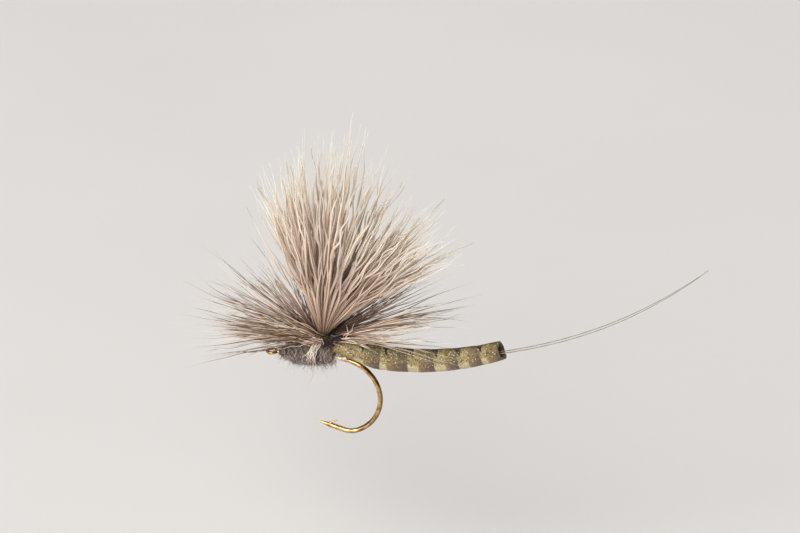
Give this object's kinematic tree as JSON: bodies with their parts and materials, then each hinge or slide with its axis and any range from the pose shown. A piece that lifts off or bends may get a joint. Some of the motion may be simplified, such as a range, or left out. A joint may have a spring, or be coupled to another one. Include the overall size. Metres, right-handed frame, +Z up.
{
  "type": "dry fly",
  "caption": "Extended-body mayfly dry fly: barbed bronze hook, fan wing and collar hackle of hair, banded curved abdomen and two long tail fibres.",
  "frame": {"origin": "centre of the hook eye's hole", "axes": "+X along the shank from the eye to the tail, +Z up the wing, away from the hook's point"},
  "size_m": [0.051, 0.028, 0.0331],
  "materials": {
    "bronzed_wire": "bright golden-bronze lacquer over steel wire",
    "dark_thread": "waxed fine thread",
    "varnished_thread": "thread soaked in glossy black varnish",
    "black_varnish": "glossy",
    "wing_hair": "tan to cream natural hair",
    "hackle_hair": "barred grey-brown natural hair with pale tips",
    "dubbed_fur": "grey-mauve dubbed fur",
    "body_foam": "closed-cell foam, matte",
    "printed_film": "semi-gloss film printed olive with brown and yellow bands",
    "clear_glue": "clear and glossy",
    "tail_fibre": "pale grey tapered synthetic fibre"
  },
  "bodies": {
    "hook_body": {"hook": "bronzed_wire", "thread_base": "dark_thread", "wing_butts": "wing_hair", "body_tag": "body_foam", "butt_wraps": "dark_thread", "body_tie_wraps": "dark_thread", "post_wraps": "varnished_thread", "post_cement": "black_varnish", "hackle_stem": "varnished_thread", "thorax_dubbing": "dubbed_fur", "head_wraps": "dark_thread", "whip_finish": "dark_thread", "head_cement": "black_varnish", "hackle_front": "hackle_hair", "hackle_rear": "hackle_hair", "hackle_far": "hackle_hair", "hackle_near": "hackle_hair"},
    "abdomen": {"abdomen_film": "printed_film", "abdomen_core": "body_foam", "tail_glue": "clear_glue", "hook_glue": "clear_glue"},
    "tail_far": {"tail_fibre_far": "tail_fibre"},
    "tail_near": {"tail_fibre_near": "tail_fibre"},
    "wing": {"wing_root": "wing_hair", "wing_hair_front": "wing_hair", "wing_hair_middle": "wing_hair", "wing_hair_rear": "wing_hair"}
  },
  "joints": [
    {"name": "abdomen_flex", "type": "hinge", "parent": "hook_body", "child": "abdomen", "pos_m": [0.0066, 0, 0.0007], "axis": [0, -1, 0], "range_deg": [-5, 8], "stiffness_Nm_per_rad": 0.0002},
    {"name": "tail_far_flex", "type": "hinge", "parent": "abdomen", "child": "tail_far", "pos_m": [0.02264, 0, 0.00224], "axis": [0, -1, 0], "range_deg": [-12, 12], "stiffness_Nm_per_rad": 0.00002},
    {"name": "tail_near_flex", "type": "hinge", "parent": "abdomen", "child": "tail_near", "pos_m": [0.02264, 0, 0.00224], "axis": [0, -1, 0], "range_deg": [-12, 12], "stiffness_Nm_per_rad": 0.00002},
    {"name": "wing_flex", "type": "hinge", "parent": "hook_body", "child": "wing", "pos_m": [0.0053, 0, 0.00242], "axis": [0, 1, 0], "range_deg": [-10, 10], "stiffness_Nm_per_rad": 0.0005}
  ]
}
